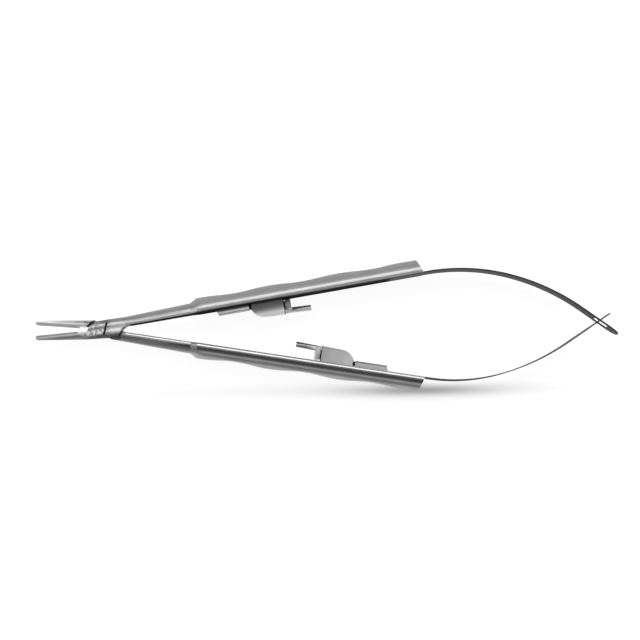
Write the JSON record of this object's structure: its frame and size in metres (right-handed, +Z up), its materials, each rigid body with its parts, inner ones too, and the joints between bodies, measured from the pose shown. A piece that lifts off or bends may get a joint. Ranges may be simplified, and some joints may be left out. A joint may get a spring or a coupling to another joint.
{
  "type": "surgical needle holder",
  "caption": "Spring-handled needle holder with a box joint, insert jaws, scalloped grips, crossing leaf springs and facing hooked catches between the handles.",
  "frame": {"origin": "on the ground plane under the middle of the instrument's bounding box", "axes": "+X from the jaw tips to the tail, +Y towards the handle of the box half, +Z up, along the joint screw"},
  "size_m": [0.1365, 0.0306, 0.0088],
  "materials": {
    "satin_steel": "satin",
    "spring_steel": "polished",
    "catch_steel": "satin",
    "insert_steel": "ground",
    "screw_steel": "satin",
    "rivet_steel": "satin"
  },
  "bodies": {
    "upper_arm": {"box_half": "satin_steel", "joint_screw": "screw_steel", "lower_jaw_insert": "insert_steel", "slotted_spring_leaf": "spring_steel", "upper_leaf_rivet_front": "rivet_steel", "upper_leaf_rivet_rear": "rivet_steel", "upper_catch_base": "catch_steel", "upper_catch_housing": "catch_steel", "upper_catch_pin": "rivet_steel", "upper_catch_blade": "spring_steel", "upper_catch_rivet_end": "rivet_steel", "upper_catch_rivet_middle": "rivet_steel"},
    "lower_arm": {"tang_half": "satin_steel", "upper_jaw_insert": "insert_steel", "tongue_spring_leaf": "spring_steel", "lower_leaf_rivet_front": "rivet_steel", "lower_leaf_rivet_rear": "rivet_steel", "lower_catch_base": "catch_steel", "lower_catch_housing": "catch_steel", "lower_catch_pin": "rivet_steel", "lower_catch_blade": "spring_steel", "lower_catch_rivet_end": "rivet_steel", "lower_catch_rivet_middle": "rivet_steel"},
    "upper_hook": {"upper_catch_hook": "catch_steel"},
    "lower_hook": {"lower_catch_hook": "catch_steel"}
  },
  "joints": [
    {"name": "box_joint", "type": "hinge", "parent": "upper_arm", "child": "lower_arm", "pos_m": [-0.05165, 0, 0.0044], "axis": [0, 0, 1], "range_deg": [0, 8.84], "stiffness_Nm_per_rad": 0.6, "deforming": ["slotted_spring_leaf", "tongue_spring_leaf"]},
    {"name": "upper_hook_swing", "type": "hinge", "parent": "upper_arm", "child": "upper_hook", "pos_m": [-0.01275, 0.00501, 0.0044], "axis": [-0.1611, 0.9869, 0], "range_deg": [-6, 6], "stiffness_Nm_per_rad": 0.02, "deforming": ["upper_catch_blade"]},
    {"name": "lower_hook_swing", "type": "hinge", "parent": "lower_arm", "child": "lower_hook", "pos_m": [0.00132, -0.0073, 0.0044], "axis": [-0.1611, -0.9869, 0], "range_deg": [-6, 6], "stiffness_Nm_per_rad": 0.02, "deforming": ["lower_catch_blade"]}
  ]
}
